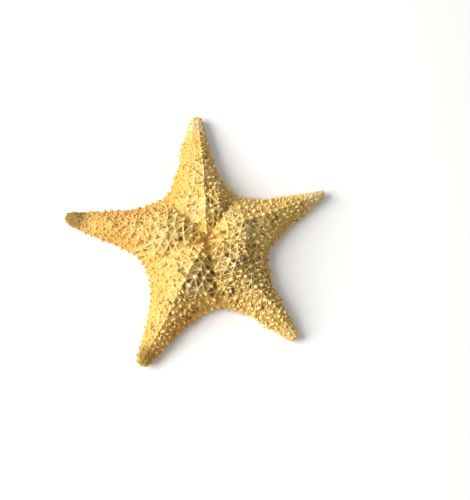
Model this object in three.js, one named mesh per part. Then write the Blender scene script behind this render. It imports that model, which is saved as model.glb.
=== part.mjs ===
// A dried sea star of the reticulated cushion kind, lying on its flat underside.
// Millimetres, +Z up. Five tapering arms run out from a high disc with a sunken middle.
// A net of low ridges with a knob at every crossing covers the upper side, conical
// spines stand along the margin, and a furrow runs under each arm to the mouth.

import * as THREE from "three";
import { mergeVertices } from "three/addons/utils/BufferGeometryUtils.js";

const { degToRad, lerp, smoothstep } = THREE.MathUtils;

// The arms, clockwise. Angle and length place the tip, tip is its radius in plan, slim is
// how far its narrow part reaches back, bend swings the middle of the arm to its left, lean
// shifts its crest to its left, and lift raises the tip.
const ARMS = [
  { angle: 93.1, length: 108.5, tip: 5.7, slim: 36, bend: 2.3, lean: -3.5, lift: 1.5 },
  { angle: 24.7, length: 106.3, tip: 3.6, slim: 31, bend: -0.8, lean: 0, lift: 0.8 },
  { angle: -46.6, length: 101.5, tip: 5.2, slim: 35, bend: 0.3, lean: 2.5, lift: 0.8 },
  { angle: -118, length: 106.5, tip: 5.8, slim: 44, bend: 0.8, lean: 0, lift: 3 },
  { angle: 168.9, length: 111.8, tip: 5.3, slim: 42, bend: -0.2, lean: 0, lift: 3 },
];

// The corner that follows each arm. Angle and radius place it, hump raises the valley that
// runs down to it, and groove sinks the inner end of that valley.
const NOTCHES = [
  { angle: 60, radius: 47.5, hump: 3, groove: 1.7 },
  { angle: -8, radius: 48.8, hump: 5.5, groove: 0.3 },
  { angle: -78.5, radius: 49.5, hump: 2.5, groove: 2.2 },
  { angle: -159, radius: 48.4, hump: 4, groove: 0.3 },
  { angle: 129.5, radius: 48.5, hump: 3, groove: 1.9 },
];

// Heights above the ground
const MIDDLE_HEIGHT = 24;
const RIM_HEIGHT = 32;
const MARGIN_HEIGHT = 7;
const TIP_TOP = 9.5;
const TIP_MARGIN = 4.8;
const FLANK_BULGE = 0.17;
const VALLEY_POWER = 2.6;
const CREST_POWER = 0.85;

// Plan: how far the sunken middle reaches, where the free part of an arm starts, and the
// reach of the outline's curve from a notch
const SUNKEN_RADIUS = 21;
const RIM_RADIUS = 30;
const NOTCH_REACH = 12.5;
const TIP_TAPER = 10;

// Rows of the net from the middle of the disc to the tip of an arm
const DISC_ROWS = 5;
const CAP_ROW = 18;
const TIP_ROW = 20;
const FEWEST_ACROSS = 2;
const NARROWING = 3.6;
const ROW_CROWDING = 0.93;

// Relief of the net: knobs shrink towards the tips, and ridges and pits follow the
// spacing of the crossings
const KNOB_HEIGHT = 1.2;
const CREST_KNOB_HEIGHT = 1.9;
const TIP_KNOB_SHARE = 0.4;
const PIT_SHARE = 0.15;
const RIDGE_SHARE = 0.03;
const CENTRE_PIT = 3;
const GROOVE_ROWS = 3;
const UNEVENNESS = 0.55;
const WANDER = 1.2;

// Margin and underside
const SPINE_LENGTH = 2.8;
const TIP_SPINE_SHARE = 0.3;
const SPINE_HEIGHT_SHARE = 0.62;
const UNDERCUT = 1.6;
const FURROW_HALF_WIDTH = 2.6;
const FURROW_DEPTH = 4;
const FURROW_END_SHARE = 0.35;
const MOUTH_DEPTH = 6;
const BRINK_SHARE = 0.5;

const COLOUR = 0xd8b46a;
const ROUGHNESS = 0.9;
const MERGE_DISTANCE = 1e-4;

// A value between -1 and 1 that varies from place to place
const uneven = (point) => Math.sin(point.x * 0.83 + 1.7) * Math.sin(point.y * 0.71 + 0.4);

// Moves a point sideways by up to reach, to a different side from place to place
function wander(point, reach) {
  const { x, y } = point;
  point.x += reach * Math.sin(y * 1.31 + x * 0.37);
  point.y += reach * Math.sin(x * 1.17 - y * 0.53 + 2);
}

// How far a row is along the free part of the arm, from 0 at the rim to 1 at the tip
const armShare = (row) => Math.max(0, (row - DISC_ROWS) / (TIP_ROW - DISC_ROWS));

// The same up to where the tip's round cap starts
const shaftShare = (row) => Math.min(1, Math.max(0, (row - DISC_ROWS) / (CAP_ROW - DISC_ROWS)));

// How far a row is around the quarter turn of the cap
const capTurn = (row) => (Math.max(0, row - CAP_ROW) / (TIP_ROW - CAP_ROW)) * (Math.PI / 2);

// Crossings of the net between the crest and the edge of a row
function crossings(row) {
  if (row <= DISC_ROWS) {
    return Math.max(row, 1);
  }
  return Math.max(FEWEST_ACROSS, Math.round(DISC_ROWS - NARROWING * shaftShare(row)));
}

// A point given along an arm, to the left of it and above the ground
function armPoint(arm, row, along, aside, height) {
  const angle = degToRad(arm.angle);
  const share = armShare(row);
  const left = aside + arm.bend * Math.sin(Math.PI * share);
  return new THREE.Vector3(
    along * Math.cos(angle) - left * Math.sin(angle),
    along * Math.sin(angle) + left * Math.cos(angle),
    height + arm.lift * share ** 3,
  );
}

// A point on the line from the middle of the disc to a notch
function valleyPoint(notch, radius, height) {
  const angle = degToRad(notch.angle);
  return new THREE.Vector3(radius * Math.cos(angle), radius * Math.sin(angle), height);
}

// Distance of a row's crest from the middle of the disc
function crestAlong(arm, row) {
  if (row <= DISC_ROWS) {
    return (RIM_RADIUS * row) / DISC_ROWS;
  }
  const shaft = lerp(RIM_RADIUS, arm.length - arm.tip, shaftShare(row) ** ROW_CROWDING);
  return shaft + arm.tip * Math.sin(capTurn(row));
}

// The crest line of an arm, which is its mid-arm ridge
function crest(arm, row) {
  const along = crestAlong(arm, row);
  const discHeight = lerp(MIDDLE_HEIGHT, RIM_HEIGHT, smoothstep(along, 0, SUNKEN_RADIUS));
  const armHeight = lerp(RIM_HEIGHT, TIP_TOP, shaftShare(row) ** CREST_POWER);
  const height = row <= DISC_ROWS ? discHeight : armHeight;
  const capHeight = lerp(TIP_MARGIN, height, Math.cos(capTurn(row)));
  const lean = arm.lean * Math.sin(Math.PI * armShare(row));
  return armPoint(arm, row, along, lean, row > CAP_ROW ? capHeight : height);
}

// Half of an arm's outline, from the notch on that side to where the cap starts.
// Side is 1 on the left of the arm and -1 on its right.
function outlineCurve(arm, side) {
  const number = ARMS.indexOf(arm);
  const notch = NOTCHES[side > 0 ? (number + ARMS.length - 1) % ARMS.length : number];
  const opening = Math.abs(degToRad(notch.angle - arm.angle)) % (2 * Math.PI);
  const spread = Math.min(opening, 2 * Math.PI - opening);
  const taper = degToRad(TIP_TAPER);
  const start = new THREE.Vector2(Math.cos(spread), Math.sin(spread)).multiplyScalar(notch.radius);
  const leaving = new THREE.Vector2(Math.sin(spread), -Math.cos(spread)).multiplyScalar(NOTCH_REACH);
  const capStart = new THREE.Vector2(arm.length - arm.tip, arm.tip);
  const arriving = new THREE.Vector2(-Math.cos(taper), Math.sin(taper)).multiplyScalar(arm.slim);
  return {
    notch,
    curve: new THREE.CubicBezierCurve(
      start,
      start.clone().add(leaving),
      capStart.clone().add(arriving),
      capStart,
    ),
  };
}

// The edge of the upper side, drawn in by inset: the line to the notch, then the outline
function edge(arm, side, outline, row, inset, height) {
  if (row <= DISC_ROWS) {
    const radius = (outline.notch.radius * row) / DISC_ROWS;
    return valleyPoint(outline.notch, row === DISC_ROWS ? radius - inset : radius, height);
  }
  const start = outline.curve.getPointAt(shaftShare(row));
  const along = start.x + (arm.tip - inset) * Math.sin(capTurn(row));
  const aside = (start.y - inset) * Math.cos(capTurn(row));
  return armPoint(arm, row, along, side * aside, height);
}

// Height of the upper edge of a row
function edgeHeight(notch, row) {
  if (row <= DISC_ROWS) {
    const share = row / DISC_ROWS;
    const fall = lerp(MIDDLE_HEIGHT, MARGIN_HEIGHT, share ** VALLEY_POWER);
    return fall + notch.hump * Math.sin(Math.PI * share);
  }
  return lerp(MARGIN_HEIGHT, TIP_MARGIN, shaftShare(row));
}

// A corner of a triangle: its place, and how far a knob or pit moves it along its normal
const corner = (point, knob = 0) => ({ point, knob });

// How far above the line from the edge to the crest the back swells: a little on the
// roof-like part of an arm, and up to a half round near its tip
function swelling(row, share) {
  const roof = FLANK_BULGE * Math.sin(Math.PI * share);
  const round = Math.sqrt(1 - share * share) - (1 - share);
  return lerp(roof, round, shaftShare(row) ** 3);
}

// A crossing of the net, at a share of the way from the crest to the edge
function crossing(arm, side, outline, row, share) {
  const top = crest(arm, row);
  const bottom = edge(arm, side, outline, row, 0, edgeHeight(outline.notch, row));
  const point = top.clone().lerp(bottom, share);
  point.z += swelling(row, share) * Math.abs(top.z - bottom.z);
  if (row === 0) {
    return corner(point, -CENTRE_PIT);
  }
  const onOutline = share === 1 && row >= DISC_ROWS;
  if (!onOutline && row < TIP_ROW) {
    wander(point, WANDER * lerp(1, TIP_KNOB_SHARE, shaftShare(row)));
  }
  if (share === 1 && row <= GROOVE_ROWS) {
    return corner(point, -outline.notch.groove);
  }
  const fullHeight = share === 0 ? CREST_KNOB_HEIGHT : KNOB_HEIGHT;
  const knob = fullHeight * lerp(1, TIP_KNOB_SHARE, shaftShare(row));
  return corner(point, knob * (1 + UNEVENNESS * uneven(point)));
}

const isSame = (a, b) => a.point.distanceTo(b.point) < MERGE_DISTANCE;

// Adds a triangle unless two of its corners have run together, turned over on the right side
function addTriangle(list, side, a, b, c) {
  if (isSame(a, b) || isSame(b, c) || isSame(c, a)) {
    return;
  }
  list.push(side > 0 ? [a, b, c] : [a, c, b]);
}

// The net over half an arm. Past the disc the diagonals alternate, which makes star crossings.
function addNet(list, arm, side, outline) {
  const at = (row, step) => crossing(arm, side, outline, row, Math.min(step / crossings(row), 1));
  for (let row = 0; row < TIP_ROW; row += 1) {
    for (let step = 0; step < DISC_ROWS; step += 1) {
      const near = at(row, step);
      const nearNext = at(row, step + 1);
      const far = row + 1 === TIP_ROW ? at(row + 1, 0) : at(row + 1, step);
      const farNext = row + 1 === TIP_ROW ? far : at(row + 1, step + 1);
      if (row >= DISC_ROWS && (row + step) % 2 === 0) {
        addTriangle(list, side, near, far, farNext);
        addTriangle(list, side, near, farNext, nearNext);
      } else {
        addTriangle(list, side, near, far, nearNext);
        addTriangle(list, side, far, farNext, nearNext);
      }
    }
  }
}

// The side wall of half an arm, with one conical spine between each two knobs of the edge
function addMargin(list, arm, side, outline) {
  const top = (row) => crossing(arm, side, outline, row, row === TIP_ROW ? 0 : 1);
  const spineHeight = (row) => edgeHeight(outline.notch, row) * SPINE_HEIGHT_SHARE;
  const waist = (row) => corner(edge(arm, side, outline, row, 0, spineHeight(row)));
  const foot = (row) => corner(edge(arm, side, outline, row, UNDERCUT, 0));
  for (let row = DISC_ROWS; row < TIP_ROW; row += 1) {
    const start = waist(row);
    const end = waist(row + 1);
    const outward = end.point.clone().sub(start.point).setZ(0).normalize();
    const reach = SPINE_LENGTH * lerp(1, TIP_SPINE_SHARE, armShare(row) ** 2);
    outward.set(-side * outward.y, side * outward.x, 0).multiplyScalar(reach);
    const spineTip = corner(start.point.clone().lerp(end.point, 0.5).add(outward));
    addTriangle(list, side, top(row), spineTip, start);
    addTriangle(list, side, top(row), top(row + 1), spineTip);
    addTriangle(list, side, top(row + 1), end, spineTip);
    addTriangle(list, side, start, spineTip, foot(row));
    addTriangle(list, side, foot(row), spineTip, foot(row + 1));
    addTriangle(list, side, spineTip, end, foot(row + 1));
  }
}

// The underside of half an arm: furrow, furrow brink, and flat plates out to the margin
function addUnderside(list, arm, side, outline) {
  const furrowShare = (row) => lerp(1, FURROW_END_SHARE, armShare(row));
  const middle = corner(new THREE.Vector3(0, 0, MOUTH_DEPTH));
  const foot = (row) => corner(edge(arm, side, outline, row, UNDERCUT, 0));
  const floor = (row) => corner(
    armPoint(arm, row, crestAlong(arm, row) - UNDERCUT, 0, FURROW_DEPTH * furrowShare(row)),
  );
  const brink = (row) => corner(
    armPoint(arm, row, crestAlong(arm, row) - UNDERCUT, side * FURROW_HALF_WIDTH * furrowShare(row), 0),
  );
  const plate = (row) => corner(brink(row).point.clone().lerp(foot(row).point, BRINK_SHARE));
  const line = (row) => {
    if (row === 0) {
      return [middle, middle, middle, middle];
    }
    if (row === TIP_ROW) {
      return [foot(row), foot(row), foot(row), foot(row)];
    }
    return [floor(row), brink(row), plate(row), foot(row)];
  };
  for (let row = 0; row < TIP_ROW; row += 1) {
    const near = line(row);
    const far = line(row + 1);
    for (let step = 0; step + 1 < near.length; step += 1) {
      addTriangle(list, side, near[step], far[step + 1], far[step]);
      addTriangle(list, side, near[step], near[step + 1], far[step + 1]);
    }
  }
}

// A mesh with shared corners and smooth normals, which keeps each corner's knob height
function joinCorners(triangles) {
  const corners = triangles.flat();
  const geometry = new THREE.BufferGeometry();
  const positions = corners.flatMap(({ point }) => point.toArray());
  geometry.setAttribute("position", new THREE.Float32BufferAttribute(positions, 3));
  geometry.setAttribute("knob", new THREE.Float32BufferAttribute(corners.map(({ knob }) => knob), 1));
  const joined = mergeVertices(geometry, MERGE_DISTANCE);
  joined.computeVertexNormals();
  return joined;
}

// Raises the knobs and ridges of the net and sinks a pit into each of its triangles
function carveNet(netTriangles, plainTriangles) {
  const joined = joinCorners([...netTriangles, ...plainTriangles]);
  const index = joined.getIndex();
  const positions = joined.getAttribute("position");
  const normals = joined.getAttribute("normal");
  const knobs = joined.getAttribute("knob");
  const base = (id) => new THREE.Vector3().fromBufferAttribute(positions, id);
  const normal = (id) => new THREE.Vector3().fromBufferAttribute(normals, id);
  const raised = (id) => base(id).addScaledVector(normal(id), knobs.getX(id));
  const ridge = (a, b) => {
    const along = base(a).distanceTo(base(b));
    const across = normal(a).add(normal(b)).normalize();
    return base(a).add(base(b)).multiplyScalar(0.5).addScaledVector(across, RIDGE_SHARE * along);
  };
  const pit = (a, b, c) => {
    const face = new THREE.Triangle(base(a), base(b), base(c));
    const inward = face.getNormal(new THREE.Vector3()).negate();
    const depth = PIT_SHARE * Math.sqrt(face.getArea() * 2);
    return face.getMidpoint(new THREE.Vector3()).addScaledVector(inward, depth);
  };
  const edgeKey = (a, b) => (a < b ? `${a} ${b}` : `${b} ${a}`);
  const netEdges = new Set();
  const faces = [];
  for (let start = 0; start < index.count; start += 3) {
    const ids = [index.getX(start), index.getX(start + 1), index.getX(start + 2)];
    const sides = ids.map((id, place) => [id, ids[(place + 1) % 3], ids[(place + 2) % 3]]);
    if (start < netTriangles.length * 3) {
      const bottom = pit(...ids);
      for (const [a, b] of sides) {
        netEdges.add(edgeKey(a, b));
        faces.push([raised(a), ridge(a, b), bottom], [ridge(a, b), raised(b), bottom]);
      }
      continue;
    }
    const shared = sides.find(([a, b]) => netEdges.has(edgeKey(a, b)));
    if (shared) {
      const [a, b, c] = shared;
      faces.push([raised(a), ridge(a, b), raised(c)], [ridge(a, b), raised(b), raised(c)]);
    } else {
      faces.push(ids.map(raised));
    }
  }
  return faces;
}

// The whole body as one closed geometry, with the origin under the middle of its box
function starfishGeometry() {
  const net = [];
  const plain = [];
  for (const arm of ARMS) {
    for (const side of [1, -1]) {
      const outline = outlineCurve(arm, side);
      addNet(net, arm, side, outline);
      addMargin(plain, arm, side, outline);
      addUnderside(plain, arm, side, outline);
    }
  }
  const points = carveNet(net, plain).flat();
  const geometry = new THREE.BufferGeometry().setFromPoints(points);
  geometry.computeBoundingBox();
  const box = geometry.boundingBox;
  const middle = box.getCenter(new THREE.Vector3());
  geometry.translate(-middle.x, -middle.y, -box.min.z);
  const closed = mergeVertices(geometry, MERGE_DISTANCE);
  closed.computeVertexNormals();
  return closed;
}

const starfish = new THREE.Mesh(
  starfishGeometry(),
  new THREE.MeshStandardMaterial({ color: COLOUR, roughness: ROUGHNESS, metalness: 0, flatShading: true }),
);
starfish.name = "starfish";

const group = new THREE.Group();
group.add(starfish);

export default group;
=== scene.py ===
"""The looks of a dried cushion sea star lying on its flat underside.

The body is one closed skin: a net of ridges over the back, a side wall of marginal plates
and a paved underside with a furrow under each arm. Knobs stand on the crossings of the
net, spines along the margin, pegs along the furrows, and granules cover everything.
Form values are in millimetres, as in the solid, and each finished piece is in metres.
"""

import math
import random
from collections import namedtuple

import bmesh
import bpy
from mathutils import Matrix, Vector, noise
from mathutils.geometry import interpolate_bezier


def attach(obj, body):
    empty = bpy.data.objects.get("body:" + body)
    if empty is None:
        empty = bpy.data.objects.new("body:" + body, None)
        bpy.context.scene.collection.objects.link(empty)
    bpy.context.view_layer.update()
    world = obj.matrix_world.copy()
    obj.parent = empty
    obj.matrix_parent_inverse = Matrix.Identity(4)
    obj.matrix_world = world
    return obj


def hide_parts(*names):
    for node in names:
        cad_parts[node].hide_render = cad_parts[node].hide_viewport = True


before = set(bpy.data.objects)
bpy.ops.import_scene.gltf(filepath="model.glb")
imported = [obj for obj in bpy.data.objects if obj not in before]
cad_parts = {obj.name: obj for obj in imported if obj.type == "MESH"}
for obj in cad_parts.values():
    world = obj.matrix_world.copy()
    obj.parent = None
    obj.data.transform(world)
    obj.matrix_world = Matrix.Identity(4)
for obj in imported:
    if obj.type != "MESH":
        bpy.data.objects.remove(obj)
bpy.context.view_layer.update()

MM = 0.001
NODE = "starfish"

# Where the middle of the disc stands in the frame
DISC_MIDDLE = Vector((6.32, -6.84, 0))

# The arms, clockwise from the top one, as in the solid. Angle and length place the tip, tip is
# its radius in plan, slim is how far its narrow part reaches back, bend swings the middle of
# the arm to its left, lean shifts its crest to its left, and lift raises the tip. Pale is how
# bleached the tip is, patch how dark the painted shade on the skin before it is,
# and rough how plain the net and how coarse the grains are low down on the right and left
# flank, and how dark the painted shade in the hollows between those grains is.
Arm = namedtuple("Arm", "name angle length tip slim bend lean lift pale patch rough")
ARMS = [
    Arm("top", 93.1, 108.5, 5.7, 36, 2.3, -3.5, 1.5, 1.0, 0, (0.5, 0.25)),
    Arm("upper_right", 24.7, 106.3, 3.6, 31, -0.8, 0, 0.8, 1.1, 0, (0.5, 0.35)),
    Arm("lower_right", -46.6, 101.5, 5.2, 35, 0.3, 2.5, 0.8, 0.7, 0, (0.8, 0.7)),
    Arm("lower_left", -118, 106.5, 5.8, 44, 0.8, 0, 3, 0.3, 1.2, (0.25, 0.75)),
    Arm("left", 168.9, 111.8, 5.3, 42, -0.2, 0, 3, 0.3, 1.6, (0.5, 0.35)),
]

# The corner that follows each arm, as in the solid. Angle and radius place it, hump raises the
# valley that runs down to it, and groove sinks the inner end of that valley.
Notch = namedtuple("Notch", "angle radius hump groove")
NOTCHES = [
    Notch(60, 47.5, 3, 1.7),
    Notch(-8, 48.8, 5.5, 0.3),
    Notch(-78.5, 49.5, 2.5, 2.2),
    Notch(-159, 48.4, 4, 0.3),
    Notch(129.5, 48.5, 3, 1.9),
]

# Heights above the ground, and how the back swells and falls between them
MIDDLE_HEIGHT = 24
RIM_HEIGHT = 32
MARGIN_HEIGHT = 7
TIP_TOP = 9.5
TIP_MARGIN = 4.8
FLANK_BULGE = 0.17
VALLEY_POWER = 2.6
CREST_POWER = 0.85

# Plan of the disc and of an arm
SUNKEN_RADIUS = 21
RIM_RADIUS = 30
TIP_TAPER = 10
NOTCH_REACH = 12.5
OUTLINE_SAMPLES = 200

# Rows of the net
DISC_ROWS = 5
CAP_ROW = 18
TIP_ROW = 20
FEWEST_ACROSS = 2
NARROWING = 3.6
ROW_CROWDING = 0.93

# Relief of the net
KNOB_HEIGHT = 0.9
CREST_KNOB_HEIGHT = 1.4
TIP_KNOB_SHARE = 0.4
CENTRE_PIT = 3
GROOVE_ROWS = 3
UNEVENNESS = 0.55
WANDER = 1.2
CREST_WANDER = 0.35

# The ridges and pits of the net, as shares of the size of a cell, and the plates of the margin
# and underside in the same way
RIDGE_SAG = 0.05
RIDGE_SHARE = 0.2
WALL_SHARE = 0.3
SHOULDER_DROP = 0.12
PIT_DROP = 0.3
PLATE_SHARE = 0.22
PLATE_RAISE = 0.05

# Cells are sunk in classes of like size, which are this far apart
SIZE_STEP = 0.12

# Marks of the relief, from the crossings of the net down to the pore
CROSSING_MARK = 1
RIDGE_MARK = 0.85
PLATE_MARK = 0.6
SHOULDER_MARK = 0.55
PIT_MARK = 0
GAP_MARK = -0.5
PORE_MARK = -1

# How plain the net is: where it weakens down a flank, past the disc and out along an arm, and
# what is left of it at the tip
FLANK_FADE = (0.1, 0.8)
DISC_FADE = (2, 7)
TIP_FADE = (0.2, 0.9)
TIP_RELIEF = 0.05

# How coarse the grains still are at a tip and beside a notch, and how dark the painted shade
# between them, and where the painted shade on the skin before a tip starts and ends
TIP_COARSENESS = 0.3
NOTCH_COARSENESS = 0.65
TIP_SHADE_START = (0.74, 1)
TIP_SHADE_END = (0.9, 1)

# Broad pale knobs with a star of ridges, and small bleached knobs, from the middle of the disc
STAR_KNOBS = [(-0.7, 24.5), (29, 8), (-20.5, 8.5), (-32, 4.5), (-10, -28), (-13, -35), (15, -25.5),
              (-50, -2), (0, 55), (30.5, -33)]
STAR_HEIGHT = 0.7
STAR_WIDTH = 1.4
STAR_LENGTH = 0.5
STAR_TINT = 0.25
STAR_RAY_TINT = 0.3
BLEACHED_KNOBS = [(-8.5, 21.5), (20, 3), (9.5, -19.5), (15, -20), (26, -21), (-30, -13)]
BLEACHED_TINT = 1

# How much the net fades from place to place, the size of those places and where they start
FADING = 0.3
FADING_SCALE = 0.09
FADING_RANGE = (-0.15, 0.35)

# A second ridge beside the crest of the top arm: its ends from the middle of the disc, how
# high it is, how far its gentle and steep sides reach, where it fades in at its first end and
# out at its last, and the half arm and rows that it stands on
SIDE_RIDGE = (Vector((8.9, 19)), Vector((9.4, 48.5)))
SIDE_RIDGE_HEIGHT = 4
SIDE_RIDGE_GENTLE = 8
SIDE_RIDGE_STEEP = 3
SIDE_RIDGE_FADES = ((-4, 1), (-1, 4))
SIDE_RIDGE_HALF = (0, -1)
SIDE_RIDGE_ROWS = (5, 9)

# The rim on the right of the disc: its radius, how high it is, how deep the dip outside it is,
# and the angles in degrees where it fades in and out. Its inner side, its outer side and the
# end of the dip are given from the radius.
DISC_RIM_RADIUS = 30
DISC_RIM_RAISE = 3
DISC_RIM_DIP = 2
DISC_RIM_FADES = ((-50, -28), (10, 34))
DISC_RIM_INNER = (-11, -1)
DISC_RIM_OUTER = (0, 4)
DISC_RIM_DIP_END = (5, 16)

# Beads along the side ridge and the rim, with the angles in degrees of those on the rim
BEAD_SPACING = 2.8
BEAD_RADIUS = 1.2
BEAD_TINT = 0.6
RIM_BEADS = [-45, -37, -31, -21, -14, -7, 0, 7, 23, 34, 41, 47]

# Gaps between the plates: how many cells have one on the back and beside the inner end of a
# deep valley, how deep it is, and how deep, long and wide such a valley is
GAP_SHARE = 0.3
GROOVE_GAP_SHARE = 0.7
GAP_DEPTH = 0.7
DEEP_GROOVE = 1
GROOVE_RUN = (5, 27)
GROOVE_HALF_WIDTH = 3.2

# The strength of the net where nubs and lumps stay away
BARE = 1.2

# Where gaps are denser: place from the middle of the disc, reach and how many cells
GAP_ZONES = [
    (Vector((33, -10)), 9, 0.8),
    (Vector((-31, 23)), 8, 0.5),
    (Vector((-15.5, 8)), 6, 0.6),
    (Vector((16.5, 28)), 6, 0.8),
    (Vector((-12, -55)), 9, 0.5),
    (Vector((7, -30)), 5, 0.6),
    (Vector((4.5, -12)), 4, 0.8),
    (Vector((5, -21)), 4, 0.7),
    (Vector((-9, 4)), 4, 0.7),
    (Vector((0, 0)), 4, 0.5),
    (Vector((50, -38)), 11, 0.6),
    (Vector((22, 21)), 6, 0.4),
]

# A small hole in the skin: its place from the middle of the disc, its radius and depth
PORE = Vector((-19.8, -1))
PORE_REACH = 2.1
PORE_DEPTH = 1.5

# Unevenness of the skin: size of the swellings, and their height
SKIN_NOISE = ((0.9, 0.13), (0.09, 0.7))

# Margin and underside
WALL_STEPS = 2
UNDER_STEPS = 6
UNDERCUT = 1.6
FURROW_HALF_WIDTH = 2.6
FURROW_DEPTH = 4
FURROW_END_SHARE = 0.35
MOUTH_DEPTH = 6

# Knobs: half their width on the disc and towards the tips, and the reaches between which that
# changes, from which height they are wider and by how much, how far they tilt, and how much
# their widths and lengths vary
KNOB_WIDTHS = (1.45, 0.6)
KNOB_REACHES = (50, 100)
KNOB_HIGH = (0.9, 0.35)
KNOB_TILT = 0.15
KNOB_WIDTH_RANGE = (0.65, 1.25)
KNOB_LENGTH_RANGE = (1.0, 1.4)
KNOB_TAPER = 0.3
BEAD_TAPER = 0.2

# Marginal spines, in a row above and a row below: half their length and width, and their
# height on the side wall as a share of it. They shrink towards the tip.
Spine = namedtuple("Spine", "length width height")
UPPER_SPINE = Spine(2.8, 1.9, 0.66)
LOWER_SPINE = Spine(1.3, 1.2, 0.3)
SPINE_ROOT = 0.6
SPINE_SHRINKS = (0.55, 0.95)
SPINE_TIP_SIZE = 0.2
SPINE_TAPER = 0.58

# Pegs along the furrows, with half their width and length
PEGS_A_ROW = 4
PEG_WIDTH = 0.5
PEG_LENGTH = 1.15
PEG_TIP_SIZE = 0.55
PEG_RAISE = 0.6
PEG_TAPER = 0.35

# Fine granules all over, and coarser nubs and lumps that leave the strong parts of the net
# bare. Spacing and radius are as they are laid, bare is how far they keep off the net, shade is
# their range of brightness, proud how much lighter they are than the bare skin where the net is
# weak, which leaves the skin between them darker as painted shade, and stand how far out of the
# skin the coarse ones stand.
Grain = namedtuple("Grain", "name spacing radius bare shade proud stand")
GRAINS = [
    Grain("granules", 1.3, 0.36, 0, (-1, 0.9), 0.3, 0),
    Grain("nubs", 1.95, 0.62, 0.75, (-0.7, 1), 0.6, 0.4),
    Grain("lumps", 3.5, 1.15, 1.1, (0, 1.1), 0.8, 0.9),
]
GRAIN_SIZES = ((0.45, 0.45, 0.7), (1.05, 1.05, 1.9))
GRAIN_TURNS = ((0, 0, 0), (6.28, 6.28, 6.28))
MIDDLE_ROUGH = 0.3

NET, WALL, UNDER = 0, 1, 2


def lerp(start, end, share):
    """The value a share of the way from start to end."""
    return start + (end - start) * share


def smooth(value, start, end):
    """0 at start, 1 at end, and level at both."""
    share = min(max((value - start) / (end - start), 0), 1)
    return share * share * (3 - 2 * share)


def uneven(point):
    """A value between -1 and 1 that varies from place to place."""
    return math.sin(point.x * 0.83 + 1.7) * math.sin(point.y * 0.71 + 0.4)


def wander(point, reach):
    """Moves a point sideways by up to reach, to a different side from place to place."""
    x, y = point.x, point.y
    point.x += reach * math.sin(y * 1.31 + x * 0.37)
    point.y += reach * math.sin(x * 1.17 - y * 0.53 + 2)


def arm_share(row):
    """How far a row is along the free part of the arm, from 0 at the rim to 1 at the tip."""
    return max(0, (row - DISC_ROWS) / (TIP_ROW - DISC_ROWS))


def shaft_share(row):
    """The same, up to where the tip's round cap starts."""
    return min(1, max(0, (row - DISC_ROWS) / (CAP_ROW - DISC_ROWS)))


def cap_turn(row):
    """How far a row is around the quarter turn of the cap."""
    return max(0, row - CAP_ROW) / (TIP_ROW - CAP_ROW) * math.pi / 2


def crossings(row):
    """Crossings of the net between the crest and the edge of a row."""
    if row <= DISC_ROWS:
        return max(row, 1)
    return max(FEWEST_ACROSS, int(DISC_ROWS - NARROWING * shaft_share(row) + 0.5))


def arm_point(arm, row, along, aside, height):
    """A point given along an arm, to the left of it and above the ground."""
    angle = math.radians(arm.angle)
    share = arm_share(row)
    left = aside + arm.bend * math.sin(math.pi * share)
    return Vector((
        along * math.cos(angle) - left * math.sin(angle),
        along * math.sin(angle) + left * math.cos(angle),
        height + arm.lift * share**3,
    ))


def valley_point(notch, radius, height):
    """A point on the line from the middle of the disc to a notch."""
    angle = math.radians(notch.angle)
    return Vector((radius * math.cos(angle), radius * math.sin(angle), height))


def crest_along(arm, row):
    """Distance of a row's crest from the middle of the disc."""
    if row <= DISC_ROWS:
        return RIM_RADIUS * row / DISC_ROWS
    shaft = lerp(RIM_RADIUS, arm.length - arm.tip, shaft_share(row) ** ROW_CROWDING)
    return shaft + arm.tip * math.sin(cap_turn(row))


def crest(arm, row):
    """The crest line of an arm, which is its mid-arm ridge."""
    along = crest_along(arm, row)
    if row <= DISC_ROWS:
        height = lerp(MIDDLE_HEIGHT, RIM_HEIGHT, smooth(along, 0, SUNKEN_RADIUS))
    else:
        height = lerp(RIM_HEIGHT, TIP_TOP, shaft_share(row) ** CREST_POWER)
        height = lerp(TIP_MARGIN, height, math.cos(cap_turn(row)))
    lean = arm.lean * math.sin(math.pi * arm_share(row))
    return arm_point(arm, row, along, lean, height)


def swelling(row, share):
    """How far above the line from the edge to the crest the back swells: a little on the
    roof-like part of an arm, and up to a half round near its tip."""
    roof = FLANK_BULGE * math.sin(math.pi * share)
    half_round = math.sqrt(1 - share * share) - (1 - share)
    return lerp(roof, half_round, shaft_share(row) ** 3)


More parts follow.
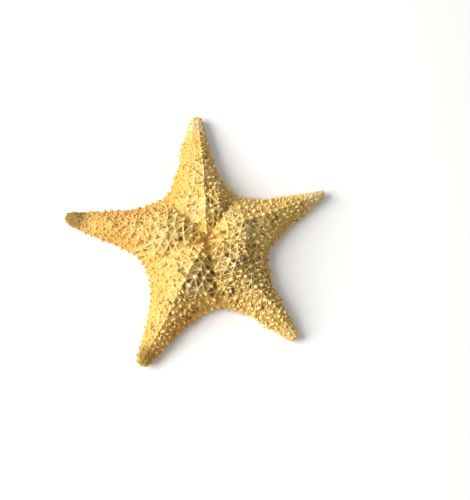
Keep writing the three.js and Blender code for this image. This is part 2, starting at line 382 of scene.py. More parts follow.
class HalfArm:
    """One side of an arm: side is 1 on its left and -1 on its right."""

    def __init__(self, arm, side):
        self.arm = arm
        self.side = side
        self.number = ARMS.index(arm)
        self.notch = NOTCHES[self.number - (side > 0)]
        self.outline = self._outline()

    def _outline(self):
        """Points from the notch to where the cap starts, along the arm and aside."""
        turn = math.radians(self.notch.angle - self.arm.angle)
        spread = abs(math.remainder(turn, 2 * math.pi))
        out = Vector((math.cos(spread), math.sin(spread)))
        leaving = Vector((math.sin(spread), -math.cos(spread))) * NOTCH_REACH
        taper = math.radians(TIP_TAPER)
        arriving = Vector((-math.cos(taper), math.sin(taper))) * self.arm.slim
        start = out * self.notch.radius
        end = Vector((self.arm.length - self.arm.tip, self.arm.tip))
        samples = interpolate_bezier(start, start + leaving, end + arriving, end, OUTLINE_SAMPLES)
        return [Vector(sample[:2]) for sample in samples]

    def outline_at(self, share):
        """The point a share of the way along the outline, measured along the curve."""
        steps = [(end - start).length for start, end in zip(self.outline, self.outline[1:])]
        left = share * sum(steps)
        for start, end, step in zip(self.outline, self.outline[1:], steps):
            if left <= step:
                return start.lerp(end, left / step)
            left -= step
        return self.outline[-1]

    def edge(self, row, inset, height):
        """The edge of the upper side, drawn in by inset: the line to the notch, then the outline."""
        if row <= DISC_ROWS:
            radius = self.notch.radius * row / DISC_ROWS
            return valley_point(self.notch, radius - inset * (row == DISC_ROWS), height)
        start = self.outline_at(shaft_share(row))
        along = start.x + (self.arm.tip - inset) * math.sin(cap_turn(row))
        aside = (start.y - inset) * math.cos(cap_turn(row))
        return arm_point(self.arm, row, along, self.side * aside, height)

    def edge_height(self, row):
        """Height of the upper edge of a row."""
        if row <= DISC_ROWS:
            share = row / DISC_ROWS
            fall = lerp(MIDDLE_HEIGHT, MARGIN_HEIGHT, share**VALLEY_POWER)
            return fall + self.notch.hump * math.sin(math.pi * share)
        return lerp(MARGIN_HEIGHT, TIP_MARGIN, shaft_share(row))

    def crossing(self, row, step):
        """A crossing of the net, and how high its knob stands."""
        share = 0 if row == TIP_ROW else min(step / crossings(row), 1)
        top = crest(self.arm, row)
        bottom = self.edge(row, 0, self.edge_height(row))
        point = top.lerp(bottom, share)
        point.z += swelling(row, share) * abs(top.z - bottom.z)
        if row == 0:
            return point, -CENTRE_PIT
        on_outline = share == 1 and row >= DISC_ROWS
        if not on_outline and row < TIP_ROW:
            reach = WANDER * lerp(1, TIP_KNOB_SHARE, shaft_share(row))
            wander(point, reach if share else reach * CREST_WANDER)
        if share == 1 and row <= GROOVE_ROWS:
            return point, -self.notch.groove
        full = KNOB_HEIGHT if share else CREST_KNOB_HEIGHT
        knob = full * lerp(1, TIP_KNOB_SHARE, shaft_share(row)) * (1 + UNEVENNESS * uneven(point))
        return point, knob

    def strength(self, row, step):
        """How plain the net stands out: 1 on the disc and crests, and less down the flanks
        and out along the arm."""
        down = smooth(step / crossings(row), *FLANK_FADE) * smooth(row, *DISC_FADE)
        first, last = SIDE_RIDGE_ROWS
        if (self.number, self.side) == SIDE_RIDGE_HALF and step <= 2 and first <= row <= last:
            down = 0
        out = smooth(shaft_share(row), *TIP_FADE)
        return lerp(1, self.arm.rough[self.side > 0], down) * lerp(1, TIP_RELIEF, out)

    def rough(self, row, share):
        """How large the lumps are, and how dark the painted shade in the hollows between them, a share
        of the way down a row: both shrink before the tip and beside the notch."""
        out = smooth(shaft_share(row), 0.7, 1)
        valley = smooth(share, 0.5, 1) * (1 - smooth(abs(row - DISC_ROWS), 0, 3))
        shrunk = lerp(1, TIP_COARSENESS, out) * lerp(1, NOTCH_COARSENESS, valley)
        return self.arm.rough[self.side > 0] * shrunk

    def tint(self, row, share=0):
        """Colour from -1, in the painted shade before a tip, to 1 on a bleached tip, at a share of
        the way from the crest to the edge."""
        out = arm_share(row)
        pale = self.arm.pale
        patch = self.arm.patch * smooth(shaft_share(row), *TIP_SHADE_START) * (1 - smooth(out, *TIP_SHADE_END))
        return pale * smooth(out, 0.95 - 0.4 * pale, 1 - 0.1 * pale) - patch * (1 - 0.6 * share**2)

    def wall(self, row, step):
        """A point of the side wall, from the upper edge down to the foot."""
        share = step / WALL_STEPS
        if share == 0:
            return self.crossing(row, crossings(row))
        inset = UNDERCUT * smooth(share, 0.4, 1)
        return self.edge(row, inset, self.edge_height(row) * (1 - share)), 0

    def under(self, row, step):
        """A point of the underside: furrow floor, furrow brink, then plates out to the foot."""
        if row == 0:
            return Vector((0, 0, MOUTH_DEPTH)), 0
        foot = self.edge(row, UNDERCUT, 0)
        if row == TIP_ROW:
            return foot, 0
        size = lerp(1, FURROW_END_SHARE, arm_share(row))
        along = crest_along(self.arm, row) - UNDERCUT
        if step == 0:
            return arm_point(self.arm, row, along, 0, FURROW_DEPTH * size), 0
        brink = arm_point(self.arm, row, along, self.side * FURROW_HALF_WIDTH * size, 0)
        return brink.lerp(foot, (step - 1) / (UNDER_STEPS - 1)), 0


HALVES = [HalfArm(arm, side) for arm in ARMS for side in (1, -1)]

# A crossing that carries a knob, and a lump to plant, with half its width and half its length
Knob = namedtuple("Knob", "place direction rise tint broad")
Spot = namedtuple("Spot", "place direction width length tint")


def faces_around(verts):
    """Every face that has one of the points, each once."""
    return list(dict.fromkeys(face for vert in verts for face in vert.link_faces))


def lay_grid(bm, half, zone, first_row, steps, place):
    """Adds a grid of one zone of half an arm, with each crossing where place says."""
    rows = TIP_ROW - first_row
    verts = bmesh.ops.create_grid(bm, x_segments=rows, y_segments=steps, size=0.5)["verts"]
    spots = {}
    for vert in verts:
        spots[vert] = round((vert.co.x + 0.5) * rows), round((vert.co.y + 0.5) * steps)
    if zone == NET:
        cut_diagonals(bm, verts, rows, steps)
    faces = faces_around(verts)
    layers = bm.verts.layers.float
    for vert, (row, step) in spots.items():
        vert.co, vert[layers["rise"]] = place(first_row + row, step)
        share = min(step / crossings(first_row + row), 1) if zone == NET else 1
        vert[layers["tint"]] = half.tint(first_row + row, share)
        strength = half.strength(first_row + row, step if zone == NET else DISC_ROWS)
        # How far down the side wall the crossing is
        foot = {NET: 0, WALL: step / steps, UNDER: 1}[zone]
        vert[layers["rough"]] = half.rough(first_row + row, share) * (1 - foot)
        vert[layers["strength"]] = lerp(strength, 1, foot)
    for face in faces:
        face[bm.faces.layers.int["zone"]] = zone
        face[bm.faces.layers.int["arm"]] = half.number
    if (half.side > 0) == (zone == UNDER):
        bmesh.ops.reverse_faces(bm, faces=faces)


def cut_diagonals(bm, verts, rows, steps):
    """Cuts the squares of the net in two. Past the disc the cuts alternate, which makes stars."""
    star = []
    plain = []
    for face in faces_around(verts):
        centre = face.calc_center_median()
        row = int((centre.x + 0.5) * rows)
        step = int((centre.y + 0.5) * steps)
        (star if row >= DISC_ROWS and (row + step) % 2 == 0 else plain).append(face)
    bmesh.ops.triangulate(bm, faces=star, quad_method="FIXED")
    bmesh.ops.triangulate(bm, faces=plain, quad_method="ALTERNATE")


def inradius(face):
    """Radius of the circle that fits in a face."""
    return 2 * face.calc_area() / face.calc_perimeter()


def sink(bm, faces, width, drop, value):
    """Insets faces and lowers them by shares of their size, and marks their relief."""
    relief = bm.verts.layers.float["relief"]
    strength = bm.verts.layers.float["strength"]
    classes = {}
    for face in faces:
        radius = inradius(face)
        depth = radius * drop * sum(vert[strength] for vert in face.verts) / len(face.verts)
        size = round(math.log(radius) / SIZE_STEP), round(depth / SIZE_STEP)
        classes.setdefault(size, []).append(face)
    for (size, depth), alike in sorted(classes.items()):
        thickness = width * math.exp(size * SIZE_STEP)
        bmesh.ops.inset_individual(
            bm, faces=alike, thickness=thickness, depth=-depth * SIZE_STEP, use_even_offset=True
        )
        for face in alike:
            for vert in face.verts:
                vert[relief] = value


def in_groove(place):
    """Whether a place is beside the inner end of one of the deep valleys of the disc."""
    first, last = GROOVE_RUN
    for notch in NOTCHES:
        angle = math.radians(notch.angle)
        along = place.x * math.cos(angle) + place.y * math.sin(angle)
        aside = place.y * math.cos(angle) - place.x * math.sin(angle)
        beside = first < along < last and abs(aside) < GROOVE_HALF_WIDTH
        if notch.groove > DEEP_GROOVE and beside:
            return True
    return False


def gap_share(place, strength):
    """How many of the cells at a place are gaps."""
    shares = [share for middle, reach, share in GAP_ZONES if (place.xy - middle).length < reach]
    if in_groove(place):
        shares.append(GROOVE_GAP_SHARE)
    return max(shares, default=GAP_SHARE * strength)


def side_ridge(place):
    """How much the side ridge raises a place: gently towards the crest, steeply beyond it."""
    start, end = SIDE_RIDGE
    along = (end - start).normalized()
    length = (end - start).length
    offset = place.xy - start
    run = offset.dot(along)
    aside = offset.x * along.y - offset.y * along.x
    if aside < 0:
        across = smooth(aside, -SIDE_RIDGE_GENTLE, 0)
    else:
        across = 1 - smooth(aside, 0, SIDE_RIDGE_STEEP)
    fade_in, fade_out = SIDE_RIDGE_FADES
    left = 1 - smooth(run, length + fade_out[0], length + fade_out[1])
    return SIDE_RIDGE_HEIGHT * across * smooth(run, *fade_in) * left


def disc_rim(place):
    """How much the rim on the right of the disc raises a place, or the dip outside it lowers it."""
    reach = place.xy.length - DISC_RIM_RADIUS
    angle = math.degrees(math.atan2(place.y, place.x))
    fade_in, fade_out = DISC_RIM_FADES
    arc = smooth(angle, *fade_in) * (1 - smooth(angle, *fade_out))
    raised = DISC_RIM_RAISE * smooth(reach, *DISC_RIM_INNER) * (1 - smooth(reach, *DISC_RIM_OUTER))
    dip = DISC_RIM_DIP * smooth(reach, *DISC_RIM_OUTER) * (1 - smooth(reach, *DISC_RIM_DIP_END))
    return arc * (raised - dip)


def at_pore(place):
    """Whether a place is on the hole in the skin of the back."""
    return place.z > MARGIN_HEIGHT and (place.xy - PORE).length < PORE_REACH


def added_height(place):
    """The move that the side ridge and the rim of the disc give a place of the back."""
    if place.z <= MARGIN_HEIGHT:
        return Vector()
    return Vector((0, 0, side_ridge(place) + disc_rim(place)))


def nearest(verts, place):
    """The point that is nearest to a place in plan."""
    return min(verts, key=lambda vert: (vert.co.xy - Vector(place)).length)


def layers_of(bm, *names):
    """The values that a bmesh keeps for its points under some names."""
    return [bm.verts.layers.float[name] for name in names]


def new_skin():
    """The closed skin in a bmesh, from the zones of every half arm, still plain."""
    bm = bmesh.new()
    for name in ("rise", "relief", "tint", "strength", "rough", "bleach"):
        bm.verts.layers.float.new(name)
    bm.faces.layers.int.new("zone")
    bm.faces.layers.int.new("arm")
    for half in HALVES:
        lay_grid(bm, half, NET, 0, DISC_ROWS, half.crossing)
        lay_grid(bm, half, WALL, DISC_ROWS, WALL_STEPS, half.wall)
        lay_grid(bm, half, UNDER, 0, UNDER_STEPS, half.under)
    bmesh.ops.remove_doubles(bm, verts=bm.verts[:], dist=0.01)
    bmesh.ops.dissolve_degenerate(bm, edges=bm.edges[:], dist=0.005)
    bmesh.ops.recalc_face_normals(bm, faces=bm.faces[:])
    bm.normal_update()
    return bm


def fade_net(bm, nodes):
    """Weakens the net from place to place, but not on the side ridge."""
    (strength,) = layers_of(bm, "strength")
    for vert in nodes:
        faded = 1 - FADING * smooth(noise.noise(vert.co * FADING_SCALE), *FADING_RANGE)
        vert[strength] = lerp(vert[strength] * faded, 1, smooth(side_ridge(vert.co), 0, 1.5))


def mark_stars(bm, stars):
    """Makes the crossings under the broad knobs higher and paler, with plain ridges around."""
    rise, tint, strength = layers_of(bm, "rise", "tint", "strength")
    for star in stars:
        star[rise] += STAR_HEIGHT
        star[tint] += STAR_TINT
        star[strength] = 1
        for edge in star.link_edges:
            end = edge.other_vert(star)
            end[tint] += STAR_RAY_TINT
            end[strength] = 1


def raise_crossings(bm, nodes, stars):
    """Raises the crossings of the net, and gives the knobs that stand on them."""
    rise, relief, tint, bleach = layers_of(bm, "rise", "relief", "tint", "bleach")
    for vert in nodes:
        vert.co += vert.normal * vert[rise]
        vert[relief] = CROSSING_MARK
    for place in BLEACHED_KNOBS:
        nearest(nodes, place)[bleach] = BLEACHED_TINT
    knobs = []
    for vert in nodes:
        if vert[rise] > 0 and not at_pore(vert.co):
            place = vert.co + added_height(vert.co)
            pale = vert[tint] + vert[bleach]
            knobs.append(Knob(place, vert.normal.copy(), vert[rise], pale, vert in stars))
    return knobs


def halve_ridges(bm, net):
    """Gives every edge of the net a middle point, which sags a little."""
    relief, *others = layers_of(bm, "relief", "tint", "strength", "rough")
    for edge in list(dict.fromkeys(edge for face in net for edge in face.edges)):
        length = edge.calc_length()
        normal = sum((face.normal for face in edge.link_faces), Vector()).normalized()
        start, end = edge.verts
        middle = bmesh.utils.edge_split(edge, start, 0.5)[1]
        middle.co -= normal * RIDGE_SAG * length
        middle[relief] = RIDGE_MARK
        for layer in others:
            middle[layer] = (start[layer] + end[layer]) / 2


def open_gaps(bm, net):
    """Lowers the floor of some cells of the net further, and marks them for painted shade."""
    relief, strength = layers_of(bm, "relief", "strength")
    rng = random.Random(11)
    for face in net:
        if rng.random() < gap_share(face.calc_center_median(), face.verts[0][strength]):
            for vert in face.verts:
                vert.co -= face.normal * GAP_DEPTH
                vert[relief] = GAP_MARK
                vert[strength] = BARE


def press_pore(bm):
    """Lowers the skin in the pore, and marks it for painted shade."""
    relief, strength = layers_of(bm, "relief", "strength")
    for vert in bm.verts:
        if at_pore(vert.co):
            vert[strength] = BARE
            vert[relief] = PORE_MARK
            vert.co.z -= PORE_DEPTH


def build_skin():
    """The whole body in a bmesh, before it is smoothed, and the knobs of its net."""
    bm = new_skin()
    zone = bm.faces.layers.int["zone"]
    net = [face for face in bm.faces if face[zone] == NET]
    plates = [face for face in bm.faces if face[zone] != NET]
    nodes = list(dict.fromkeys(vert for face in net for vert in face.verts))
    fade_net(bm, nodes)
    stars = [nearest(nodes, place) for place in STAR_KNOBS]
    mark_stars(bm, stars)
    knobs = raise_crossings(bm, nodes, stars)
    halve_ridges(bm, net)
    sink(bm, net, RIDGE_SHARE, SHOULDER_DROP, SHOULDER_MARK)
    sink(bm, net, WALL_SHARE, PIT_DROP, PIT_MARK)
    sink(bm, plates, PLATE_SHARE, -PLATE_RAISE, PLATE_MARK)
    open_gaps(bm, net)
    for vert in bm.verts:
        vert.co += added_height(vert.co)
    press_pore(bm)
    return bm, knobs


def to_frame(bm):
    """Moves a bmesh from the disc's own place in millimetres into the frame in metres."""
    bmesh.ops.translate(bm, verts=bm.verts[:], vec=DISC_MIDDLE)
    bmesh.ops.scale(bm, verts=bm.verts[:], vec=(MM, MM, MM))


def link(name, data):
    """A new object in the scene from a mesh, a light or a camera."""
    thing = bpy.data.objects.new(name, data)
    bpy.context.scene.collection.objects.link(thing)
    return thing


def object_from(bm, name):
    """A new object from a bmesh, which is freed."""
    mesh = bpy.data.meshes.new(name)
    bm.to_mesh(mesh)
    bm.free()
    mesh.shade_smooth()
    return link(name, mesh)


def settle(thing):
    """Applies an object's modifiers to its mesh."""
    graph = bpy.context.evaluated_depsgraph_get()
    mesh = bpy.data.meshes.new_from_object(thing.evaluated_get(graph))
    thing.modifiers.clear()
    thing.data = mesh


def dress(piece, material):
    """Gives a piece its material and what the frame has to know about it."""
    piece.data.materials.clear()
    piece.data.materials.append(material)
    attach(piece, "root")
    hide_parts(NODE)


def roughen(thing):
    """Moves the skin in and out: fine grain, and broad low swellings."""
    bm = bmesh.new()
    bm.from_mesh(thing.data)
    bm.normal_update()
    for vert in bm.verts:
        place = vert.co / MM
        bump = sum(noise.fractal(place * scale, 0.7, 2.1, 3) * height for scale, height in SKIN_NOISE)
        vert.co += vert.normal * bump * MM * smooth(place.z, 0.2, 4)
    bm.to_mesh(thing.data)
    bm.free()


def make_body(material):
    """The netted skin, as one closed mesh."""
    bm, knobs = build_skin()
    to_frame(bm)
    body = object_from(bm, "starfish_body")
    smoothing = body.modifiers.new("smoothing", "SUBSURF")
    smoothing.levels = smoothing.render_levels = 1
    smoothing.use_limit_surface = False
    settle(body)
    roughen(body)
    body.data.shade_smooth()
    dress(body, material)
    return body, knobs


class Tree:
    """Adds nodes to a node tree: each from its type, its settings and its inputs."""

    def __init__(self, tree):
        self.tree = tree
        tree.nodes.clear()

    def add(self, kind, settings=None, inputs=None):
        """A node, with its settings made first and then its inputs set or linked."""
        node = self.tree.nodes.new(kind)
        for name, value in (settings or {}).items():
            setattr(node, name, value)
        for name, value in (inputs or {}).items():
            socket = node.inputs[name]
            value = value.socket if isinstance(value, Value) else value
            if isinstance(value, bpy.types.NodeSocket):
                self.tree.links.new(value, socket)
            else:
                socket.default_value = value
        return node


class Value:
    """A number that varies over a surface. Sums on it add Math nodes."""

    def __init__(self, tree, socket):
        self.tree = tree
        self.socket = socket

    def combine(self, operation, first, second):
        node = self.tree.add("ShaderNodeMath", {"operation": operation}, {0: first, 1: second})
        return Value(self.tree, node.outputs[0])

    def __add__(self, other):
        return self.combine("ADD", self, other)

    def __sub__(self, other):
        return self.combine("SUBTRACT", self, other)

    def __mul__(self, other):
        return self.combine("MULTIPLY", self, other)

    def __truediv__(self, other):
        return self.combine("DIVIDE", self, other)

    def __rsub__(self, other):
        return self.combine("SUBTRACT", other, self)

    def __pow__(self, other):
        return self.combine("POWER", self, other)

    __radd__ = __add__
    __rmul__ = __mul__

    def between(self, start, end):
        """0 below start, 1 above end, and smooth between them."""
        node = self.tree.add(
            "ShaderNodeMapRange",
            {"interpolation_type": "SMOOTHSTEP"},
            {"Value": self, "From Min": start, "From Max": end},
        )
        return Value(self.tree, node.outputs[0])


def new_geometry_tree(name):
    """A geometry node group with one geometry in and one out: the group, its tree and its input."""
    group = bpy.data.node_groups.new(name, "GeometryNodeTree")
    group.interface.new_socket("Geometry", in_out="INPUT", socket_type="NodeSocketGeometry")
    group.interface.new_socket("Geometry", in_out="OUTPUT", socket_type="NodeSocketGeometry")
    tree = Tree(group)
    return group, tree, tree.add("NodeGroupInput").outputs[0]


def finish_geometry_tree(piece, group, tree, copies):
    """Joins a tree's copies to one smooth mesh, and leaves that mesh on the piece."""
    solid = tree.add("GeometryNodeRealizeInstances", None, {"Geometry": copies.outputs[0]})
    rounded = tree.add("GeometryNodeSetShadeSmooth", None, {"Geometry": solid.outputs[0]})
    tree.add("NodeGroupOutput", None, {0: rounded.outputs[0]})
    piece.modifiers.new("copies", "NODES").node_group = group
    settle(piece)


def keep(mesh, name, kind, field, values):
    """Keeps one value for every point of a mesh under a name."""
    attribute = mesh.attributes.new(name, kind, "POINT")
    attribute.data.foreach_set(field, [number for value in values for number in value])


def blunt_shape(name, taper):
    """A small round lump with its middle at the origin, narrowed towards its top by taper."""
    bm = bmesh.new()
    bmesh.ops.create_uvsphere(bm, u_segments=8, v_segments=5, radius=1)
    for vert in bm.verts:
        narrowing = 1 - taper * (vert.co.z + 1) / 2
        vert.co.x *= narrowing
        vert.co.y *= narrowing
    return object_from(bm, name)


def plant(name, taper, spots, material):
    """One joined mesh with a lump at every spot."""
    shape = blunt_shape(name + "_shape", taper)
    points = bpy.data.meshes.new(name)
    points.from_pydata([(spot.place + DISC_MIDDLE) * MM for spot in spots], [], [])
    turns = [spot.direction.to_track_quat("Z", "Y").to_euler() for spot in spots]
    sizes = [(spot.width * MM, spot.width * MM, spot.length * MM) for spot in spots]
    keep(points, "turn", "FLOAT_VECTOR", "vector", turns)
    keep(points, "size", "FLOAT_VECTOR", "vector", sizes)
    keep(points, "tint", "FLOAT", "value", [[spot.tint] for spot in spots])
    keep(points, "relief", "FLOAT", "value", [[1] for spot in spots])
    keep(points, "strength", "FLOAT", "value", [[1] for spot in spots])
    shades = random.Random(len(spots))
    keep(points, "shade", "FLOAT", "value", [[shades.uniform(-1, 1)] for spot in spots])
    piece = link(name, points)
    group, tree, source = new_geometry_tree(name)
    dots = tree.add("GeometryNodeMeshToPoints", None, {"Mesh": source})
    lump = tree.add("GeometryNodeObjectInfo", None, {"Object": shape})
    turn = tree.add("GeometryNodeInputNamedAttribute", {"data_type": "FLOAT_VECTOR"}, {"Name": "turn"})
    size = tree.add("GeometryNodeInputNamedAttribute", {"data_type": "FLOAT_VECTOR"}, {"Name": "size"})
    lumps = tree.add(
        "GeometryNodeInstanceOnPoints",
        None,
        {
            "Points": dots.outputs[0],
            "Instance": lump.outputs["Geometry"],
            "Rotation": turn.outputs[0],
            "Scale": size.outputs[0],
        },
    )
    finish_geometry_tree(piece, group, tree, lumps)
    bpy.data.objects.remove(shape)
    dress(piece, material)


def make_knobs(knobs, material):
    """A rounded knob on every crossing of the net."""
    rng = random.Random(3)
    low_rise, widening = KNOB_HIGH
    spots = []
    for knob in knobs:
        width = lerp(*KNOB_WIDTHS, smooth(knob.place.xy.length, *KNOB_REACHES))
        width *= 1 + widening * max(0, knob.rise - low_rise)
        width *= rng.uniform(*KNOB_WIDTH_RANGE)
        tilt = Vector((rng.uniform(-1, 1), rng.uniform(-1, 1), 0)) * KNOB_TILT
        length = width * rng.uniform(*KNOB_LENGTH_RANGE)
        if knob.broad:
            width *= STAR_WIDTH
            length *= STAR_LENGTH
        spots.append(Spot(knob.place, knob.direction + tilt, width, length, knob.tint))
    plant("knobs", KNOB_TAPER, spots, material)


def make_beads(body, material):
    """A row of beads along the side ridge, and another along the rim on the right of the disc."""
    rng = random.Random(13)
    start, end = SIDE_RIDGE
    count = int((end - start).length / BEAD_SPACING)
    places = [start.lerp(end, bead / count) for bead in range(count + 1)]
    for angle in map(math.radians, RIM_BEADS):
        radius = DISC_RIM_RADIUS + rng.uniform(-1, 0.6)
        places.append(Vector((radius * math.cos(angle), radius * math.sin(angle))))
    spots = []
    for place in places:
        above = ((place.to_3d() + DISC_MIDDLE) * MM).xy.to_3d() + Vector((0, 0, 0.1))
        hit, ground = body.ray_cast(above, Vector((0, 0, -1)))[:2]
        if hit:
            width = BEAD_RADIUS * rng.uniform(0.8, 1.15)
            spots.append(Spot(ground / MM - DISC_MIDDLE, Vector((0, 0, 1)), width, width, BEAD_TINT))
    plant("ridge_beads", BEAD_TAPER, spots, material)


def make_spines(material):
    """Conical spines on the margin: a long row above and a shorter row below."""
    rng = random.Random(5)
    spots = []
    for half in HALVES:
        for slot in range(2 * (TIP_ROW - DISC_ROWS)):
            row = DISC_ROWS + slot / 2
            spine = UPPER_SPINE if slot % 2 else LOWER_SPINE
            near, far = half.edge(row, 0, 0), half.edge(row + 0.5, 0, 0)
            along = (far - near).normalized()
            outward = Vector((-along.y, along.x, 0)) * half.side
            base = near.lerp(far, rng.uniform(0.3, 0.7)) - outward * SPINE_ROOT
            base.z += half.edge_height(row) * spine.height + rng.uniform(-0.5, 0.5)
            size = lerp(1, SPINE_TIP_SIZE, smooth(arm_share(row), *SPINE_SHRINKS))
            size *= rng.uniform(0.45, 1.25)
            length = spine.length * size
            width = spine.width * size**0.5
            rake = Vector((0, 0, rng.uniform(-0.1, 0.35)))
            direction = outward + along * rng.uniform(-0.35, 0.35) + rake
            middle = base + outward * length * 0.5
            spots.append(Spot(middle, direction, width, length, half.tint(row, 1)))
    plant("marginal_spines", SPINE_TAPER, spots, material)


def make_furrow_pegs(material):
    """Blunt pegs along both brinks of every furrow."""
    rng = random.Random(7)
    spots = []
    for half in HALVES:
        for slot in range(PEGS_A_ROW, PEGS_A_ROW * (TIP_ROW - 2)):
            row = slot / PEGS_A_ROW
            brink = half.under(row, 1)[0]
            inward = half.under(row, 0)[0] - brink
            inward.z = 0
            size = lerp(1, PEG_TIP_SIZE, arm_share(row))
            brink.z += PEG_RAISE
            width = PEG_WIDTH * size * rng.uniform(0.85, 1.15)
            spots.append(Spot(brink, inward, width, PEG_LENGTH * size, half.tint(row)))
    plant("furrow_pegs", PEG_TAPER, spots, material)


def scatter(body, grain, number, material):
    """Round grains on one arm's part of the skin, as one joined mesh."""
    name = grain.name + "_" + ARMS[number].name
    seed = 4 * number
    piece = link(name, body.data.copy())
    group, tree, source = new_geometry_tree(name)

    def attribute(kind, name):
        node = tree.add("GeometryNodeInputNamedAttribute", {"data_type": kind}, {"Name": name})
        return Value(tree, node.outputs[0])

    own = tree.add(
        "FunctionNodeCompare",
        {"data_type": "INT", "operation": "EQUAL"},
        {2: attribute("INT", "arm"), 3: number},
    )
    points = tree.add(
        "GeometryNodeDistributePointsOnFaces",
        {"distribute_method": "POISSON"},
        {
            "Mesh": source,
            "Selection": own.outputs[0],
            "Distance Min": grain.spacing * MM,
            "Density Max": 4 / (grain.spacing * MM) ** 2,
            "Density Factor": 1.1 - attribute("FLOAT", "strength") ** 3 * grain.bare,
            "Seed": seed,
        },
    )
    dark, light = grain.shade
    shade = tree.add("FunctionNodeRandomValue", None, {2: dark, 3: light, "Seed": seed + 1})
    shaded = tree.add(
        "GeometryNodeStoreNamedAttribute",
        {"data_type": "FLOAT", "domain": "POINT"},
        {"Geometry": points.outputs["Points"], "Name": "shade", "Value": shade.outputs[1]},
    )
    proud = tree.add(
        "GeometryNodeStoreNamedAttribute",
        {"data_type": "FLOAT", "domain": "POINT"},
        {"Geometry": shaded.outputs[0], "Name": "proud", "Value": grain.proud},
    )
    rough = attribute("FLOAT", "rough")
    lift = tree.add(
        "ShaderNodeVectorMath",
        {"operation": "SCALE"},
        {0: points.outputs["Normal"], "Scale": rough * (grain.stand * grain.radius * MM)},
    )
    raised = tree.add(
        "GeometryNodeSetPosition", None, {"Geometry": proud.outputs[0], "Offset": lift.outputs[0]}
    )
    ball = tree.add("GeometryNodeMeshIcoSphere", None, {"Radius": grain.radius * MM, "Subdivisions": 1})
    size = tree.add(
        "FunctionNodeRandomValue",
        {"data_type": "FLOAT_VECTOR"},
        {0: GRAIN_SIZES[0], 1: GRAIN_SIZES[1], "Seed": seed + 2},
    )
    grown = tree.add(
        "ShaderNodeVectorMath",
        {"operation": "SCALE"},
        {0: size.outputs[0], "Scale": 1 + (rough - MIDDLE_ROUGH) * grain.stand},
    )
    turn = tree.add(
        "FunctionNodeRandomValue",
        {"data_type": "FLOAT_VECTOR"},
        {0: GRAIN_TURNS[0], 1: GRAIN_TURNS[1], "Seed": seed + 3},
    )
    grains = tree.add(
        "GeometryNodeInstanceOnPoints",
        None,
        {
            "Points": raised.outputs[0],
            "Instance": ball.outputs[0],
            "Rotation": turn.outputs[0],
            "Scale": grown.outputs[0],
        },
    )
    finish_geometry_tree(piece, group, tree, grains)
    dress(piece, material)


# Linear colours of the skin and of the knobs: low in the net, high on it, and bleached
SKIN_COLOURS = ((0.53, 0.35, 0.10, 1), (0.88, 0.66, 0.24, 1), (0.72, 0.60, 0.39, 1))
KNOB_COLOURS = ((0.76, 0.53, 0.18, 1), (0.86, 0.63, 0.24, 1), (0.88, 0.77, 0.50, 1))
SKIN_BUMP = 0.25
KNOB_BUMP = 0.15

# Linear colours of stains and grain tones, and of painted shade in the hollows between grains, before
# two tips, in the pit at the middle and in the gaps
RUST = (0.66, 0.38, 0.09, 1)
PAINTED_HOLLOW_SHADE = (0.23, 0.13, 0.04, 1)
LIGHT_GRAIN = (0.97, 0.77, 0.31, 1)
DARK_GRAIN = (0.25, 0.155, 0.035, 1)
WARM_DISC = (0.88, 0.56, 0.12, 1)
FLUSH = (0.72, 0.42, 0.10, 1)
WEATHERED = (0.66, 0.41, 0.12, 1)
PAINTED_TIP_SHADE_COLOUR = (0.17, 0.11, 0.025, 1)
PAINTED_PIT_SHADE = (0.28, 0.11, 0.02, 1)
PAINTED_GAP_SHADE = (0.06, 0.035, 0.01, 1)


class Surface(Tree):
    """A material's tree, with what varies over the animal. Lengths are in millimetres."""

    def __init__(self, tree):
        super().__init__(tree)
        self.place = self.add("ShaderNodeTexCoord").outputs["Object"]
        axes = self.add("ShaderNodeSeparateXYZ", None, {"Vector": self.place})
        self.right = Value(self, axes.outputs["X"]) / MM
        self.height = Value(self, axes.outputs["Z"]) / MM
        self.reach = self._reach()
        self.relief = self.attribute("relief")
        self.tint = self.attribute("tint")
        self.shade = self.attribute("shade")
        self.strength = self.attribute("strength")
        self.rough = self.attribute("rough")
        self.proud = self.attribute("proud")
        self.patches = self.fuzz(45, 3)
        self.grain = self.fuzz(900, 4)

    def _reach(self):
        """Distance from the middle of the disc in plan."""
        vector = "ShaderNodeVectorMath"
        centred = self.add(vector, {"operation": "SUBTRACT"}, {0: self.place, 1: DISC_MIDDLE * MM})
        flat = self.add(vector, {"operation": "MULTIPLY"}, {0: centred.outputs[0], 1: (1, 1, 0)})
        length = self.add(vector, {"operation": "LENGTH"}, {0: flat.outputs[0]})
        return Value(self, length.outputs["Value"]) / MM

    def attribute(self, name):
        """A value that the mesh keeps under a name."""
        node = self.add("ShaderNodeAttribute", {"attribute_name": name})
        return Value(self, node.outputs["Fac"])

    def fuzz(self, scale, detail):
        """Noise from 0 to 1, finer with a higher scale."""
        inputs = {"Vector": self.place, "Scale": scale, "Detail": detail}
        return Value(self, self.add("ShaderNodeTexNoise", None, inputs).outputs["Fac"])

    def mix(self, share, first, second):
        """A colour that is a share of the way from the first to the second."""
        node = self.add("ShaderNodeMix", {"data_type": "RGBA"}, {0: share, 6: first, 7: second})
        return node.outputs[2]


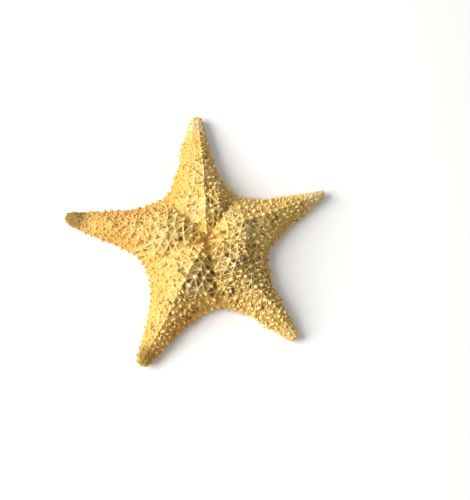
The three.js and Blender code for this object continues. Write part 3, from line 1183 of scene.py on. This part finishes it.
def plain_colour(surface, low, high):
    """Colour from low to high in the relief, with rust, light and dark grains, and painted shade on the
    bare skin between grains, darkest in the hollows of the rough flanks.
    """
    net = surface.relief.between(0.1, 0.95) * 0.55 + 0.22
    # Grains are lighter than the bare skin between them where the net is weak: the darker skin between
    # grains is painted shade.
    weak = (1 - surface.strength) * (surface.proud * 0.9)
    colour = surface.mix(net * surface.strength + weak + surface.grain * 0.3, low, high)
    colour = surface.mix(surface.patches.between(0.45, 0.75) * 0.35, colour, RUST)
    # Painted shade in the hollows of the bare skin between grains, darkest on the rough flanks.
    sunk = (1 - surface.proud.between(0, 0.5)) * (1 - surface.relief.between(0.1, 0.9))
    colour = surface.mix(surface.rough.between(0.25, 0.8) * sunk * 0.75, colour, PAINTED_HOLLOW_SHADE)
    colour = surface.mix(surface.shade.between(0.2, 0.9) * 0.75, colour, LIGHT_GRAIN)
    return surface.mix((surface.shade * -1).between(0.2, 0.9) * 0.6, colour, DARK_GRAIN)


def stained_colour(surface, colour, pale):
    """The colour with the stains of the disc and flanks, bleached tips, and painted shade before two
    tips, in the pit at the middle and in the gaps and the pore.
    """
    patches = surface.patches
    reach = surface.reach
    right = surface.right
    colour = surface.mix((1 - reach.between(4, 22)) * 0.4, colour, WARM_DISC)
    low = 1 - surface.height.between(8, 27)
    flush = low * patches.between(0.15, 0.6) * (1.25 - right.between(-30, 40))
    colour = surface.mix(flush, colour, FLUSH)
    weathered = (1 - right.between(-60, 5)) * patches.between(0.1, 0.6) * 0.65
    colour = surface.mix(weathered, colour, WEATHERED)
    bleached = surface.tint.between(0, 1) * surface.relief.between(-0.3, 0.9) * 0.75
    colour = surface.mix(bleached, colour, pale)
    # Painted shade on the skin before the upturned tips of the left and lower-left arms.
    colour = surface.mix((surface.tint * -1).between(0, 1) * 0.75, colour, PAINTED_TIP_SHADE_COLOUR)
    # Painted shade, patchy, in the pit at the middle of the disc.
    middle = (1 - reach.between(0.5, 4.5)) * patches.between(0.1, 0.7)
    colour = surface.mix(middle, colour, PAINTED_PIT_SHADE)
    # Painted shade, near black, in the gaps between plates and in the pore.
    return surface.mix((surface.relief * -1).between(0.05, 0.9) * 0.95, colour, PAINTED_GAP_SHADE)


def shell_material(name, colours, bump_height):
    """Dry chalky skin, rough and hardly shiny."""
    low, high, pale = colours
    material = bpy.data.materials.new(name)
    material.use_nodes = True
    surface = Surface(material.node_tree)
    bump = surface.add(
        "ShaderNodeBump",
        None,
        {"Strength": 0.5, "Distance": bump_height * MM, "Height": surface.fuzz(1500, 3)},
    )
    shader = surface.add(
        "ShaderNodeBsdfPrincipled",
        None,
        {
            "Base Color": stained_colour(surface, plain_colour(surface, low, high), pale),
            "Roughness": 0.75 + surface.grain * 0.2,
            "Specular IOR Level": 0.25,
            "Normal": bump.outputs[0],
        },
    )
    surface.add("ShaderNodeOutputMaterial", None, {"Surface": shader.outputs[0]})
    return material


def make_floor():
    """A plain pale floor."""
    bm = bmesh.new()
    bmesh.ops.create_grid(bm, x_segments=1, y_segments=1, size=3)
    floor = object_from(bm, "floor")
    material = bpy.data.materials.new("floor")
    material.use_nodes = True
    shader = material.node_tree.nodes["Principled BSDF"]
    shader.inputs["Base Color"].default_value = (0.92, 0.92, 0.92, 1)
    shader.inputs["Roughness"].default_value = 0.9
    floor.data.materials.append(material)


# The soft key light, in metres and watts, and the even light from all around
KEY_PLACE = Vector((-1.2, 0, 0.85))
KEY_SIZE = 1.2
KEY_POWER = 40.5
KEY_COLOUR = (1, 0.985, 0.95)
SURROUND_STRENGTH = 0.42


def make_studio():
    """A square soft light from the left that shines at the object, and a pale surround."""
    light = bpy.data.lights.new("key", "AREA")
    light.size = KEY_SIZE
    light.energy = KEY_POWER
    light.color = KEY_COLOUR
    key = link("key", light)
    key.location = KEY_PLACE
    key.rotation_euler = (-KEY_PLACE).to_track_quat("-Z", "Y").to_euler()
    world = bpy.data.worlds.new("surround")
    bpy.context.scene.world = world
    world.use_nodes = True
    background = world.node_tree.nodes["Background"]
    background.inputs["Color"].default_value = (1, 1, 1, 1)
    background.inputs["Strength"].default_value = SURROUND_STRENGTH
    bpy.context.scene.view_settings.view_transform = "Standard"


# The picture's frame in pixels, and where the frame's origin falls in it
PICTURE = (470, 500)
ORIGIN_PIXEL = (196.4, 239.1)
PIXELS_PER_METRE = 1257
CAMERA_DISTANCE = 0.7
CAMERA_ELEVATION = 75.1
CAMERA_AZIMUTH = -12.7
CAMERA_ROLL = 12.7
SENSOR = 36


def make_camera():
    """A camera that looks down on the object from where the picture was taken."""
    data = bpy.data.cameras.new("camera")
    camera = link("camera", data)
    bpy.context.scene.camera = camera
    elevation = math.radians(CAMERA_ELEVATION)
    azimuth = math.radians(CAMERA_AZIMUTH)
    back = Vector((
        math.sin(azimuth) * math.cos(elevation),
        -math.cos(azimuth) * math.cos(elevation),
        math.sin(elevation),
    ))
    roll = Matrix.Rotation(math.radians(CAMERA_ROLL), 4, "Z")
    aim = (-back).to_track_quat("-Z", "Y").to_matrix().to_4x4()
    camera.matrix_world = Matrix.Translation(back * CAMERA_DISTANCE) @ aim @ roll
    longest = max(PICTURE)
    data.sensor_width = SENSOR
    data.lens = PIXELS_PER_METRE * CAMERA_DISTANCE * SENSOR / longest
    data.shift_x = (PICTURE[0] / 2 - ORIGIN_PIXEL[0]) / longest
    data.shift_y = (ORIGIN_PIXEL[1] - PICTURE[1] / 2) / longest
    data.clip_start = 0.01


def main():
    """Makes every piece, the studio and the camera."""
    skin = shell_material("netted_skin", SKIN_COLOURS, SKIN_BUMP)
    knob_skin = shell_material("knob", KNOB_COLOURS, KNOB_BUMP)
    body, knobs = make_body(skin)
    make_knobs(knobs, knob_skin)
    make_beads(body, knob_skin)
    make_spines(knob_skin)
    make_furrow_pegs(knob_skin)
    for number in range(len(ARMS)):
        for grain in GRAINS:
            scatter(body, grain, number, skin)
    make_floor()
    make_studio()
    make_camera()


main()
